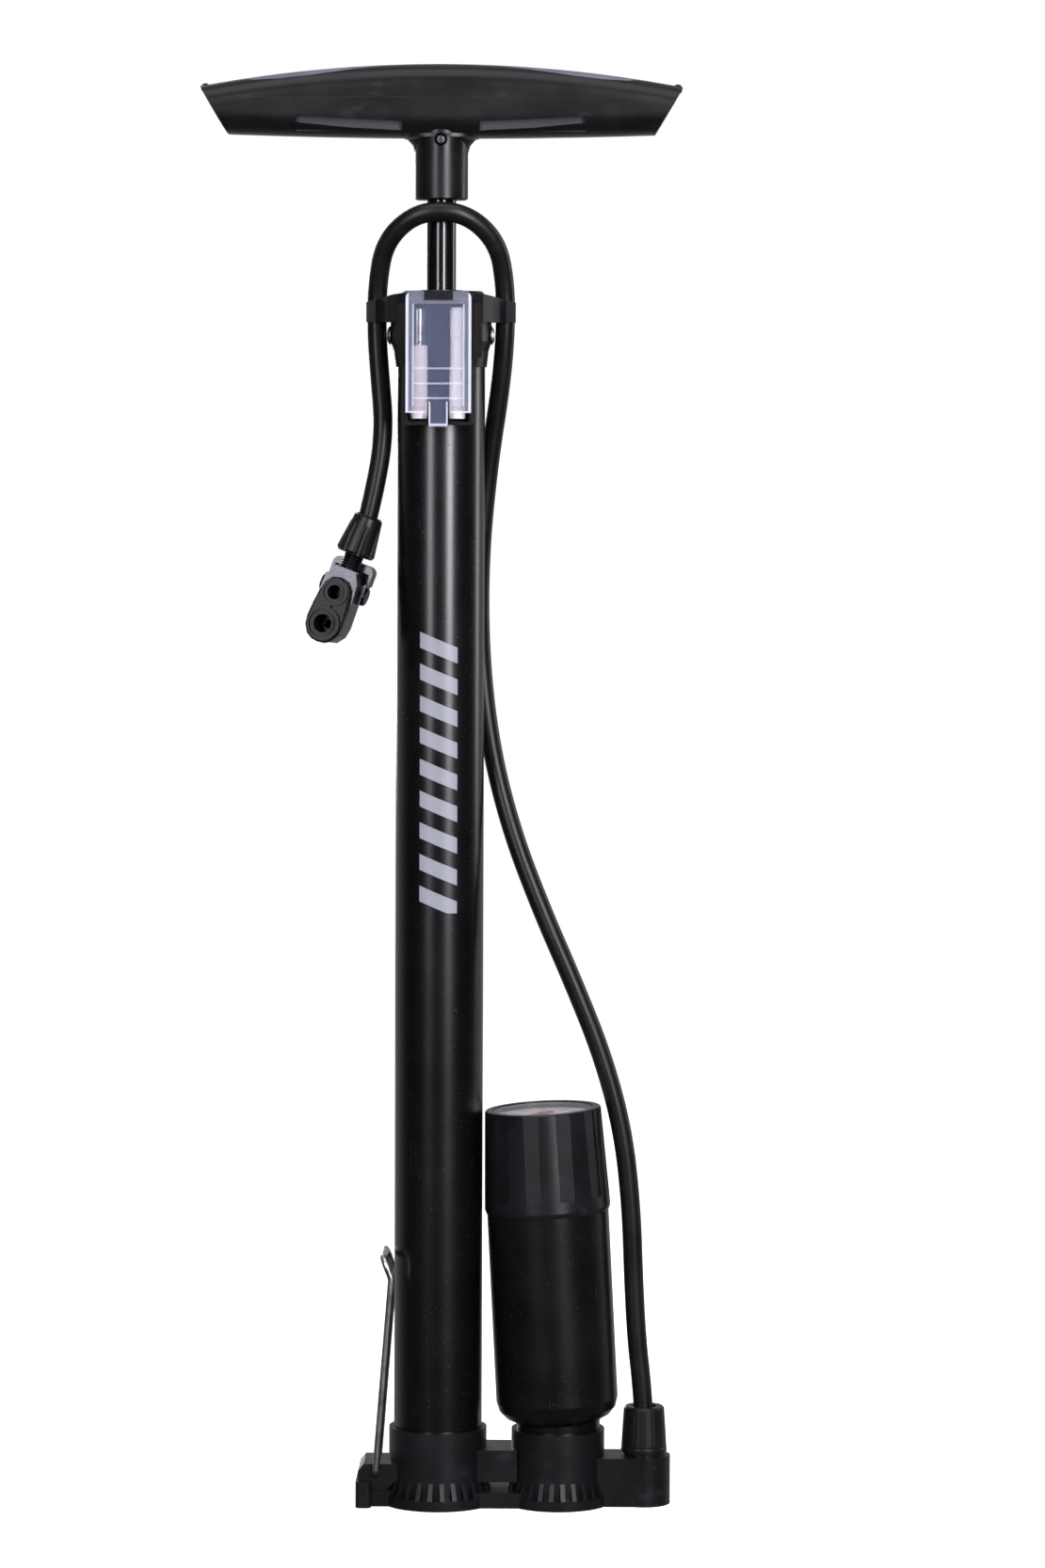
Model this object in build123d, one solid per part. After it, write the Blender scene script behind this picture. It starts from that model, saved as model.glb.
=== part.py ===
from build123d import *
import math
import os

os.makedirs("parts", exist_ok=True)

# Floor bike pump, millimetres. The barrel's axis is Z, the floor is z = 0, and -Y is the front.

# Driving dimensions
gap = 0.3                  # between pieces that move past each other without touching
seat_gap = 0.05            # between pieces of one body that sit one inside the other
running_gap = 0.06         # radial clearance of shafts in their holes

barrel_radius = 19.0
barrel_wall = 1.6
barrel_bottom = 10.0
barrel_top = 512.0
barrel_bore = barrel_radius - barrel_wall

rod_radius = 6.35
rod_wall = 1.2
rod_bottom = 41.0
rod_top = 606.0
stud_radius = 3.0

handle_half_span = 103.3
handle_top = 620.7
handle_arc = 552.0         # radius of the crowned top edge
handle_bottom = 589.1
handle_depth = 27.0
handle_end_slope = 30.4    # degrees from vertical
stem_radius = 11.4
stem_bottom = 562.6
screw_height = 588.2

cap_bottom = 491.0
cap_radius = 21.75
cap_top = 523.6
bush_radius = 9.0
cap_flat_x = 21.5          # flats under the side screws' heads
cap_screw_y = -2.5
cap_screw_z = 504.5
clip_x = 27.6
clip_y = 2.2
clip_half_depth = 6.2

hose_radius = 4.2
hose_bore = 2.4

collar_radius = 21.1
collar_top = 33.0
tank_x = 52.0
tank_collar_radius = 20.1
tank_collar_top = 32.4
tank_lean = -3.0           # degrees about Y, towards the barrel
tank_radius = 26.3
tank_wall = 1.6
bezel_low = 94.0           # heights in the tank's own leaning frame
bezel_band = 101.0
bezel_top = 138.5
bezel_low_radius = 27.2
bezel_top_radius = 25.1
dial_height = 135.7

outlet_x = 89.2
outlet_block_top = 21.0
duct_height = 16.0
valve_radius = 5.2
ball_radius = 2.5
ball_height = 14.1

wire_radius = 1.5
wire_pivot_x = -26.4
wire_pivot_z = 14.3
wire_half_width = 14.8

tray_half_width = 14.3
tray_back = -20.3
tray_front = -33.0
tray_bottom = 466.3
tray_top = 519.6
cover_front = -36.0
cover_hinge_y = -31.0
cover_hinge_z = 521.2

head_lean = 20.5           # degrees about Y
head_turn = -12.0          # degrees about the head's own long axis
lever_y = 4.9              # lever pivot in the head's frame
lever_z = -33.5
narrow_port_z = -35.4
wide_port_z = -49.7
narrow_port_radius = 3.1
wide_port_radius = 4.0

# The hose's route, by hand, from the base outlet to the pump head
hose_route = [
    (89.3, 0.0, 34.0),
    (88.4, 0.2, 50.0),
    (86.0, 0.0, 70.0),
    (84.5, -0.3, 96.0),
    (83.4, -0.6, 128.0),
    (79.6, -0.8, 162.0),
    (70.6, -0.4, 194.5),
    (57.8, 0.5, 226.0),
    (43.6, 3.0, 258.0),
    (30.6, 7.5, 291.5),
    (21.2, 13.5, 328.0),
    (16.6, 17.8, 369.0),
    (16.6, 17.8, 411.0),
    (20.6, 13.0, 451.0),
    (25.5, 7.0, 482.0),
    (27.6, 2.8, 505.0),
    (27.6, 1.6, 526.0),
    (24.2, -6.0, 545.0),
    (10.0, -12.5, 557.4),
    (-10.0, -12.5, 557.4),
    (-24.0, -6.0, 545.0),
    (-27.6, 1.6, 526.0),
    (-27.8, 2.8, 505.0),
    (-26.3, 2.2, 486.0),
    (-24.5, 1.2, 465.5),
    (-26.9, 0.4, 444.2),
    (-31.8, 0.0, 424.0),
]

tank_place = Pos(tank_x + 0.2, 0, 33) * Rot(0, tank_lean, 0)
head_place = Pos(-30.7, 0, 426.8) * Rot(0, head_lean, 0) * Rot(0, 0, head_turn)


def upright(radius, low, high, x=0.0, y=0.0):
    """Cylinder along Z between two heights."""
    shape = Cylinder(radius, high - low, align=(Align.CENTER, Align.CENTER, Align.MIN))
    return Pos(x, y, low) * shape


def lying_y(radius, low, high, x=0.0, z=0.0):
    """Cylinder along Y between two depths."""
    shape = Cylinder(radius, high - low, align=(Align.CENTER, Align.CENTER, Align.MIN))
    return Pos(x, low, z) * Rot(-90, 0, 0) * shape


def lying_x(radius, low, high, y=0.0, z=0.0):
    """Cylinder along X between two stations."""
    shape = Cylinder(radius, high - low, align=(Align.CENTER, Align.CENTER, Align.MIN))
    return Pos(low, y, z) * Rot(0, 90, 0) * shape


def block(x_low, x_high, y_low, y_high, z_low, z_high):
    """Box between its two corners."""
    shape = Box(x_high - x_low, y_high - y_low, z_high - z_low, align=(Align.MIN, Align.MIN, Align.MIN))
    return Pos(x_low, y_low, z_low) * shape


def turned(*outline):
    """Solid of revolution about Z from (radius, height) points."""
    return revolve(Plane.XZ * make_face(Polyline(*outline, close=True)), Axis.Z)


def front_plate(y_low, y_high, *outline):
    """Plate between two depths from (x, z) points."""
    face = Plane.XZ.offset(-y_low) * make_face(Polyline(*outline, close=True))
    return extrude(face, amount=-(y_high - y_low))


def ring_of(piece, count, start=0.0):
    """Copies of a piece, evenly turned about Z."""
    return [Rot(0, 0, start + index * 360 / count) * piece for index in range(count)]


def hex_nut(across_flats, hole, low, high):
    """Hexagonal nut with a plain hole."""
    face = RegularPolygon(across_flats / 2, 6, major_radius=False)
    nut = Pos(0, 0, low) * extrude(face, amount=high - low)
    return nut - upright(hole, low - 1, high + 1)


def round_head_screw(head_radius, head_height, shank_radius, shank_length, recess=True):
    """Domed cross-recess screw along Z, its head's underside at z = 0."""
    rim = head_height * 0.35
    dome_middle = head_radius * 0.62
    screw = turned(
        (0, -shank_length), (shank_radius, -shank_length), (shank_radius, 0), (head_radius, 0),
        (head_radius, rim), (dome_middle, head_height * 0.86), (0, head_height),
    )
    if recess:
        arm = Pos(0, 0, head_height) * Box(head_radius * 1.1, head_radius * 0.24, head_height * 1.1)
        screw = screw - arm - Rot(0, 0, 90) * arm
    return screw


def base_moulding():
    """Collars, gusset fins, foot bar, outlet block and the air ducts, in one moulding."""
    fin_thickness = 2.0
    body = upright(collar_radius, 0, collar_top)
    body += upright(24.3, 0, 4.5)
    body += upright(tank_collar_radius, 0, tank_collar_top, x=tank_x)
    body += upright(22.6, 0, 4.5, x=tank_x)
    body += block(0, tank_x, -15.5, 15.5, 0, 6.6)
    body += block(17, 34.6, -12, 12, 10.7, 24.5)
    for middle, radius, reach, count in ((0, collar_radius, 24.3, 28), (tank_x, tank_collar_radius, 22.6, 28)):
        outline = [(radius - 1, 1), (reach, 1), (reach, 4.5), (radius, 11.6), (radius - 1, 11.6)]
        fin = front_plate(-fin_thickness / 2, fin_thickness / 2, *outline)
        for copy in ring_of(fin, count, start=360 / count / 2):
            body += Pos(middle, 0, 0) * copy
    lug = [(-31.6, 18.4), (-34, 15.6), (-34, 7.1), (-22, 7.1), (-17.1, 11.6), (-17.1, 18.4)]
    body += front_plate(-12.5, 12.5, *lug)
    foot_bar = block(-35, -28.3, -16.7, 16.7, 0, 11.2)
    body += fillet(foot_bar.edges().filter_by(Axis.Z), 2.0)
    body += block(-28.3, -20, -12.8, 12.8, 0, 7.0)
    outlet = block(68, outlet_x, -10.8, 10.8, 0, outlet_block_top) + upright(11.4, 0, outlet_block_top, x=outlet_x)
    body += outlet
    body += upright(9.0, outlet_block_top, outlet_block_top + 1.5, x=outlet_x)
    # sockets for the barrel and the leaning tank neck
    body -= upright(barrel_radius + seat_gap, barrel_bottom, collar_top + 1)
    body += upright(15.1, barrel_bottom - 1, 16)
    body -= tank_place * upright(18.0 + seat_gap, -9, 6)
    # air: barrel floor, flange duct, valve pocket, outlet duct and its riser
    body -= upright(2.0, 3.4, 17)
    body -= lying_x(1.6, 0, tank_x, z=3.4)
    body -= upright(1.6, 3.4, 9, x=tank_x)
    body -= upright(valve_radius, 8, 30, x=tank_x)
    body -= lying_x(1.8, tank_x, outlet_x, z=duct_height)
    body -= upright(1.8, duct_height, 24, x=outlet_x)
    body -= upright(4.2, 19.0, 24, x=outlet_x)
    # pivot hole of the foot wire, and the hollow under the foot
    body -= lying_y(wire_radius + running_gap, -13, 13, x=wire_pivot_x, z=wire_pivot_z)
    return body


def barrel_tube():
    """Pump barrel."""
    return upright(barrel_radius, barrel_bottom, barrel_top) - upright(barrel_bore, barrel_bottom - 1, barrel_top + 1)


def barrel_seal():
    """O-ring between the base's spigot and the barrel."""
    return Pos(0, 0, 13) * Torus(16.27, 1.05)


def top_cap():
    """Cap with side wings that clip the hose, rails for the adaptor box and a seat for the rod bush."""
    body = turned(
        (0, cap_bottom), (19.7, cap_bottom), (20.5, 498), (cap_radius, 502), (cap_radius, 516.5),
        (20.4, 520.8), (17.5, cap_top), (0, cap_top),
    )
    low = clip_y - clip_half_depth
    high = clip_y + clip_half_depth
    arm = extrude(make_face(Polyline(
        (8, -21.5), (14.6, -21.5), (18.5, -19.2), (22.6, -13.4), (25.4, -7.0), (28.0, low), (32.0, low), (32.0, high),
        (8, high), close=True,
    )), amount=600)
    wing = front_plate(-30, 30, (8, 510.2), (32.0, 510.2), (32.0, 518.8), (20, 521.9), (8, 523.4)) & arm
    wing -= upright(hose_radius + 0.45, 500, 530, x=clip_x, y=clip_y)
    wing -= block(clip_x, 34, clip_y - 3.3, clip_y + 3.3, 500, 530)
    side_parts = wing + block(14.6, 18.0, -22.6, -14, 495, 518)
    body += side_parts
    body += mirror(side_parts, about=Plane.YZ)
    # flat seat for the adaptor box, barrel socket and bush hole
    body -= block(-14.6, 14.6, -30, tray_back, 490, 519.9)
    body -= upright(barrel_radius + seat_gap, cap_bottom - 1, barrel_top)
    body -= upright(bush_radius + seat_gap, barrel_top - 1, cap_top + 1)
    # screw holes, each with a flat for the screw's head
    body -= lying_x(1.55, -25, 25, y=cap_screw_y, z=cap_screw_z)
    for low, high in ((cap_flat_x, 30), (-30, -cap_flat_x)):
        body -= lying_x(4.1, low, high, y=cap_screw_y, z=cap_screw_z) & block(-31, 31, -7, clip_y - 0.3, 499, 510)
    return body


def cap_screws():
    """The two domed screws that hold the cap to the barrel."""
    screw = round_head_screw(3.9, 1.7, 1.5, 2.2)
    right = Pos(cap_flat_x, cap_screw_y, cap_screw_z) * Rot(0, 90, 0) * screw
    return [right, mirror(right, about=Plane.YZ)]


def rod_bush():
    """Guide bush of the piston rod."""
    body = turned((0, 500), (17.0, 500), (17.0, 506), (bush_radius, 506), (bush_radius, cap_top + 0.4), (0, cap_top + 0.4))
    return body - upright(rod_radius + running_gap, 499, cap_top + 2)


def piston_rod():
    """Hollow rod, with the cross hole for the handle screw."""
    body = upright(rod_radius, rod_bottom, rod_top) - upright(rod_radius - rod_wall, rod_bottom - 1, rod_top + 1)
    return body - lying_y(1.7, -10, 10, z=screw_height)


def rod_tail():
    """Plug in the rod's foot, with the stud that carries the piston."""
    return turned(
        (0, 17.0), (stud_radius, 17.0), (stud_radius, 38.6), (rod_radius, 38.6), (rod_radius, rod_bottom),
        (rod_radius - rod_wall - seat_gap, rod_bottom), (rod_radius - rod_wall - seat_gap, 56), (0, 56),
    )


def piston_nut():
    """Nut under the piston."""
    return hex_nut(10, stud_radius + 0.03, 17.2, 20.9)


def piston_body():
    """Piston with the groove for its cup seal."""
    return turned(
        (stud_radius + running_gap, 21.2), (16.2, 21.2), (17.1, 22.1), (17.1, 26), (13.6, 26), (13.6, 33),
        (17.1, 33), (17.1, 37.4), (16.2, 38.3), (stud_radius + running_gap, 38.3),
    )


def piston_cup():
    """Rubber cup seal, its lip facing down."""
    return turned(
        (13.65, 26.05), (15.4, 26.05), (15.8, 29.5), (16.6, 26.05), (barrel_bore - running_gap, 26.05),
        (barrel_bore - running_gap, 28), (16.9, 32.95), (13.65, 32.95),
    )


def bar_section(x):
    """Cross-section of the handle bar at a station along X."""
    top = handle_top - x * x / (2 * handle_arc)
    bottom = handle_bottom + 1.6 * (x / 91.5) ** 2
    plane = Plane(origin=(x, 0, (top + bottom) / 2), x_dir=(0, 1, 0), z_dir=(1, 0, 0))
    return plane * RectangleRounded(handle_depth, top - bottom, 9.4)


def top_pad_region(shrink=0.0):
    """Slab that takes the handle's top skin, wide near the ends and narrow in the middle."""
    half = [(0, 6.2), (24, 7.2), (45, 9.4), (65, 10.8), (80, 9.0), (90, 4.0), (93, 0)]
    right = [(x - shrink * x / 93, y - shrink) for x, y in half[:-1]] + [(93 - shrink, 0)]
    front = [(-x, y) for x, y in reversed(right)] + right[1:]
    back = [(x, -y) for x, y in reversed(front[1:-1])]
    plan = make_face(Polyline(*front, *back, close=True))
    slab = Pos(0, 0, 600) * extrude(plan, amount=25)
    under = lying_y(handle_arc - 2.3 + shrink, -30, 30, z=handle_top - handle_arc)
    return slab - under


def handle_bar():
    """The crowned bar alone, with its ends cut back at a slope."""
    bar = loft([bar_section(x) for x in (-108, -72, -36, 0, 36, 72, 108)])
    for side in (1, -1):
        cutter = block(0, 40, -30, 30, -60, 60)
        cutter = Pos(97.4, 0, 600.7) * Rot(0, handle_end_slope, 0) * cutter
        bar -= cutter if side == 1 else mirror(cutter, about=Plane.YZ)
    return bar


def handle_body(bar, pad_region):
    """Bar and stem in one moulding."""
    body = bar
    stem = upright(stem_radius, stem_bottom, 605)
    stem = chamfer(stem.edges().sort_by(Axis.Z)[0], 0.7)
    flare = turned((0, 582.5), (stem_radius, 582.5), (stem_radius + 0.9, 585.8), (stem_radius + 3.2, 588.4),
                   (stem_radius + 6.4, 589.4), (stem_radius + 6.4, 591), (0, 591))
    flare = scale(flare, by=(1, 0.64, 1))
    body += stem + flare
    # end pockets behind a rim, and the rounded bead on each top corner
    for side in (1, -1):
        plane = Plane(origin=(97.4 * side, 0, 600.9), x_dir=(0, 1, 0), z_dir=(side * 0.862, 0, -0.506))
        pocket = extrude(plane * RectangleRounded(21.5, 17.5, 6.0), amount=-7)
        pocket += extrude(plane * RectangleRounded(21.5, 17.5, 6.0), amount=3)
        body -= pocket
        bead = lying_y(2.0, -5.5, 5.5, x=101.2 * side, z=610.3)
        body += fillet(bead.edges(), 1.6)
    # grip slots, front and back
    slot = [(16.5, 592.0), (40, 593.2), (62, 595.3), (62, 598.3), (40, 597.0), (16.5, 596.0)]
    for side in (1, -1):
        outline = [(x * side, z) for x, z in slot]
        body -= front_plate(-20, -9.5, *outline)
        body -= front_plate(9.5, 20, *outline)
    # rod socket, cross hole and screw counterbore
    body -= upright(rod_radius + seat_gap, stem_bottom - 1, rod_top + 0.3)
    body -= lying_y(1.7, -20, 9.0, z=screw_height)
    body -= lying_y(2.8, -20, -9.2, z=screw_height)
    return body - pad_region


def handle_top_pad(bar):
    """Smooth pad along the top of the handle."""
    return bar & top_pad_region(seat_gap)


def handle_screw():
    """Cross screw through the stem and the rod."""
    screw = round_head_screw(2.6, 1.8, 1.6, 17.5)
    return Pos(0, -9.2, screw_height) * Rot(90, 0, 0) * screw


def foot_wire():
    """Spring-steel foot loop, stowed upright against the barrel."""
    y = wire_half_width
    points = [
        (wire_pivot_x, -8.5, wire_pivot_z), (wire_pivot_x, -y, wire_pivot_z), (-19.7, -y, 99), (-23.3, -y, 108),
        (-23.3, y, 108), (-19.7, y, 99), (wire_pivot_x, y, wire_pivot_z), (wire_pivot_x, 8.5, wire_pivot_z),
    ]
    path = FilletPolyline(*points, radius=[2.0, 6.0, 5.0, 5.0, 6.0, 2.0])
    section = Plane(origin=points[0], z_dir=(0, -1, 0)) * Circle(wire_radius)
    return sweep(section, path=path)


def valve_seat():
    """Brass seat of the check valve under the tank."""
    body = upright(valve_radius - seat_gap, 8, 12, x=tank_x) - upright(1.6, 7, 13, x=tank_x)
    return body


def check_ball():
    """Steel ball of the check valve."""
    return Pos(tank_x, 0, ball_height) * Sphere(ball_radius)


def valve_spring():
    """Light spring that holds the ball on its seat."""
    low = ball_height + ball_radius + 0.35
    high = 22.4
    turns = 4.0
    coil = Helix(pitch=(high - low - 0.7) / turns, height=high - low - 0.7, radius=1.7)
    section = Plane(origin=coil @ 0, z_dir=coil % 0) * Circle(0.3)
    return Pos(tank_x, 0, low + 0.3) * sweep(section, path=coil, is_frenet=True)


def valve_retainer():
    """Ring that the spring pushes against."""
    top = upright(valve_radius - seat_gap, 22.4, 24.0, x=tank_x)
    for angle in (0, 120, 240):
        x = tank_x + 3.2 * math.cos(math.radians(angle))
        y = 3.2 * math.sin(math.radians(angle))
        top -= upright(1.1, 22, 25, x=x, y=y)
    return top


def tank_can():
    """Air tank, with a neck that sits in the base's collar."""
    outer = turned(
        (0, -8.6), (18.0, -8.6), (18.0, 2.8), (19.2, 3.4), (22.6, 5.2), (25.2, 8.2), (tank_radius, 12.2),
        (tank_radius, 98.6), (0, 98.6),
    )
    inner = turned((0, -9.6), (15.6, -9.6), (15.6, 4.6), (21.0, 6.8), (24.7, 13.4), (24.7, 100), (0, 100))
    return tank_place * (outer - inner)


def tank_seal():
    """O-ring under the tank's neck."""
    return tank_place * (Pos(0, 0, -3) * Torus(14.5, 1.0))


def gauge_bezel():
    """Tapered cap round the gauge, with alternating flat flutes."""
    body = turned(
        (tank_radius + seat_gap, bezel_low), (tank_radius + 0.2, bezel_low), (bezel_low_radius - 0.3, bezel_low + 0.9),
        (bezel_low_radius, bezel_low + 2.0), (bezel_top_radius, bezel_top - 0.5), (bezel_top_radius - 0.5, bezel_top),
        (21.8, bezel_top), (21.8, 131.5), (22.6, 131.5), (22.6, 99.7), (tank_radius + seat_gap, 99.7),
    )
    taper = math.degrees(math.atan((bezel_low_radius - bezel_top_radius) / (bezel_top - bezel_low)))
    middle = (bezel_low_radius + bezel_top_radius) / 2 - 0.75
    cutter = Box(6, 7.0, 44, align=(Align.MIN, Align.CENTER, Align.CENTER))
    cutter = Pos(middle, 0, (bezel_low + bezel_top) / 2) * Rot(0, -taper, 0) * cutter
    cutter = cutter & block(0, 40, -10, 10, bezel_band, 160)
    for copy in ring_of(cutter, 11, start=-90 - 12):
        body -= copy
    return tank_place * body


def gauge_case():
    """Cup that closes the tank and holds the gauge movement."""
    body = upright(24.6, 92.5, 99.4) + upright(22.5, 99.4, 131.3)
    body -= upright(21.0, 108, 140)
    body -= upright(2.05, 90, 110)
    return tank_place * body


def gauge_inlet():
    """Brass pressure inlet of the gauge."""
    body = upright(2.0, 91, 111) + Pos(0, 0, 108.1) * extrude(RegularPolygon(4.0, 6), amount=3.4)
    return tank_place * (body - upright(0.8, 90, 112))


def bourdon_tube():
    """Curved pressure tube that drives the needle."""
    path = CenterArc((0, 0), 13.0, -60, 280)
    section = Plane(origin=path @ 0, z_dir=path % 0) * Rectangle(1.6, 4.4)
    return tank_place * (Pos(0, 0, 119.5) * sweep(section, path=path))


def gauge_movement():
    """Bridge that carries the needle's spindle."""
    plate = Pos(0, 0, 127.0) * extrude(RectangleRounded(14, 24, 3), amount=1.2)
    body = plate - upright(1.0 + running_gap, 120, 130)
    for y in (9.5, -9.5):
        body += upright(1.6, 108.0, 127.0, y=y)
    return tank_place * body


def gauge_dial():
    """Dial plate."""
    plate = upright(21.7, dial_height - 0.8, dial_height) - upright(1.35, 130, 140)
    for x in (-10.5, 10.5):
        plate -= upright(0.65, 130, 140, x=x, y=4.0)
    rim = upright(20.9, 131.4, dial_height - 0.8) - upright(19.5, 131, 136)
    return tank_place * (plate + rim)


def dial_screws():
    """Two small screws that hold the dial plate."""
    screw = round_head_screw(1.1, 0.45, 0.6, 0.7, recess=False)
    return [tank_place * Pos(x, 4.0, dial_height) * screw for x in (-10.5, 10.5)]


def gauge_needle():
    """Pointer on its spindle, pointing at zero."""
    blade = make_face(Polyline((-1.5, -5.5), (1.5, -5.5), (0.9, 0), (0.22, 17.2), (-0.22, 17.2), (-0.9, 0), close=True))
    needle = Pos(0, 0, dial_height + 0.5) * extrude(blade, amount=0.4)
    needle += upright(2.2, dial_height + 0.4, dial_height + 1.0)
    needle = Rot(0, 0, 135) * needle
    return tank_place * (needle + upright(1.0, 124, dial_height + 0.5))


def gauge_lens():
    """Clear window."""
    return tank_place * upright(21.7, 137.2, 138.0)


def hose_barb(stem_radius_, barb_radius, low, high, flange_low, flange_radius):
    """Hollow barbed tail along Z, with a flange at its foot."""
    step = (high - flange_low - 1.5) / 3
    outline = [(0.9, low), (stem_radius_, low), (stem_radius_, flange_low), (flange_radius, flange_low),
               (flange_radius, flange_low + 1.5)]
    for index in range(3):
        foot = flange_low + 1.5 + index * step
        outline += [(barb_radius - 0.5, foot), (barb_radius, foot + 0.2)]
    outline += [(barb_radius - 0.5, high), (0.9, high)]
    return turned(*outline)


def base_barb():
    """Brass outlet tail that the hose is pushed onto."""
    return Pos(outlet_x, 0, 0) * hose_barb(4.15, 2.75, 19.0, 41.5, 22.5, 6.0)


def base_hose_nut():
    """Fluted taper nut over the hose's foot."""
    body = turned(
        (5.2, 24.2), (5.2, 42.2), (8.0, 42.2), (8.75, 41.4), (9.75, 25.6), (9.75, 24.6), (9.95, 24.2), (9.95, 22.6),
        (6.2, 22.6), (6.2, 24.2),
    )
    flute = Pos(10.15, 0, 34.5) * Rot(0, -3.2, 0) * Cylinder(1.15, 17)
    for copy in ring_of(flute, 14, start=360 / 28):
        body -= copy
    return Pos(outlet_x, 0, 0) * body


def hose_path():
    """Straight runs joined by arcs as large as the runs allow."""
    points = [Vector(*point) for point in hose_route]
    radii = []
    for before, here, after in zip(points, points[1:], points[2:]):
        first = here - before
        second = after - here
        half_turn = math.radians(first.get_angle(second) / 2)
        radii.append(0.45 * min(first.length, second.length) / math.tan(half_turn))
    return FilletPolyline(*hose_route, radius=radii), radii


def hose():
    """Rubber hose."""
    path, radii = hose_path()
    ring = Circle(hose_radius) - Circle(hose_bore)
    tube = sweep(Plane(origin=path @ 0, z_dir=path % 0) * ring, path=path)
    section = math.pi * (hose_radius ** 2 - hose_bore ** 2)
    print("hose radii in diameters:", [round(radius / (2 * hose_radius), 1) for radius in radii])
    print("hose length", round(path.length, 1), "volume ratio", round(tube.volume / (section * path.length), 5))
    return tube


def head_hose_nut():
    """Fluted taper nut at the head's end of the hose."""
    body = turned((4.9, 0), (5.4, 0), (6.3, -0.9), (8.5, -16.4), (7.6, -17.7), (4.2, -17.7), (4.2, -14.5), (4.9, -13.5))
    flute = Pos(8.15, 0, -12.0) * Rot(0, -2.5, 0) * Cylinder(1.3, 16)
    for copy in ring_of(flute, 8, start=-90 + 22.5):
        body -= copy
    return head_place * body


def head_barb():
    """Threaded neck between the nut and the head, with a barbed tail inside the hose."""
    outline = [(0.9, -24.4), (4.0, -24.4)]
    for index in range(5):
        foot = -23.6 + index * 1.15
        outline += [(4.0, foot), (4.35, foot + 0.3), (4.0, foot + 0.85)]
    outline += [(4.0, -17.5), (4.0, -13.6), (2.6, -13.6), (2.75, -12.5), (2.3, -9.0), (2.7, -8.6), (2.2, -5.0), (0.9, -5.0)]
    return head_place * turned(*outline)


def slot_prism(radius, z_high, z_low, y_low, y_high):
    """Prism along Y of a rounded outline between two centres on the head's long axis."""
    body = lying_y(radius, y_low, y_high, z=z_high) + lying_y(radius, y_low, y_high, z=z_low)
    return body + block(-radius, radius, y_low, y_high, z_low, z_high)


def head_body():
    """Silver housing of the pump head."""
    body = front_plate(
        -6.2, 9.0, (-4.8, -24.6), (4.8, -24.6), (7.2, -29.5), (7.7, -34), (8.1, -48.8), (7.3, -53.2), (4.6, -56.6),
        (0, -57.8), (-4.6, -56.6), (-7.3, -53.2), (-8.1, -48.8), (-7.7, -34), (-7.2, -29.5),
    )
    back_edges = body.faces().sort_by(Axis.Y)[-1].edges()
    body = fillet(back_edges, 1.2)
    body -= slot_prism(6.6, narrow_port_z, wide_port_z, -7, 7.6)
    body -= block(-3.4, 3.4, -3.2, 7.6, narrow_port_z + 4, -28.6)
    body += block(-5.4, 5.4, -5.4, 6.5, -26.6, -24.4)
    body -= upright(1.0, -32, -24)
    body -= lying_x(1.5 + running_gap, -12, 12, y=lever_y, z=lever_z)
    return head_place * body


def head_face():
    """Dark face with the two valve ports."""
    outline = [(0, -28.7), (3.4, -29.5), (5.9, -32.4), (6.9, -36.4), (7.7, -42.0), (8.2, -48.5), (7.7, -52.6), (5.6, -56.0),
               (2.9, -57.6), (0, -58.0)]
    outline += [(-x, z) for x, z in reversed(outline[1:-1])]
    body = front_plate(-9.2, -6.2, *outline)
    body = fillet(body.faces().sort_by(Axis.Y)[0].edges(), 0.8)
    # raised collars round the two ports, each with a ring groove
    body += lying_y(5.9, -10.3, -7, z=narrow_port_z) + lying_y(7.3, -10.6, -7, z=wide_port_z)
    for radius, outer, z in ((3.9, 4.9, narrow_port_z), (5.0, 6.2, wide_port_z)):
        body -= lying_y(outer, -12, -9.5, z=z) - lying_y(radius, -12, -9.5, z=z)
    # small boss between the ports
    body += lying_y(0.8, -10.9, -8, z=(narrow_port_z + wide_port_z) / 2 + 0.7)
    body -= lying_y(narrow_port_radius, -12, -6, z=narrow_port_z)
    body -= lying_y(wide_port_radius, -12, -6, z=wide_port_z)
    return head_place * body


def port_seals():
    """Rubber bushes that grip the valve."""
    narrow = lying_y(6.3, -6.2, -1.6, z=narrow_port_z) - lying_y(narrow_port_radius, -7, 0, z=narrow_port_z)
    wide = lying_y(6.3, -6.2, -1.6, z=wide_port_z) - lying_y(wide_port_radius, -7, 0, z=wide_port_z)
    return [head_place * narrow, head_place * wide]


def head_plunger():
    """Plate that the lever's cam presses against the port seals."""
    body = slot_prism(6.2, narrow_port_z, wide_port_z, 0.4, 2.4)
    body -= lying_y(2.0, 0, 3, z=wide_port_z) + lying_y(1.2, 0, 3, z=narrow_port_z - 3.5)
    return head_place * body


def lever_pin():
    """Cross pin of the lever, with its cam and two broad heads."""
    pin = lying_x(1.5, -9.4, 9.4, y=lever_y, z=lever_z)
    pin += lying_x(2.0, -2.6, 2.6, y=lever_y, z=lever_z - 1.5)
    for side in (1, -1):
        head = lying_x(3.9, 9.4, 10.5, y=lever_y, z=lever_z)
        head = chamfer(head.edges().sort_by(Axis.X)[-1], 0.4)
        pin += head if side == 1 else mirror(head, about=Plane.YZ)
    return head_place * pin


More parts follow.
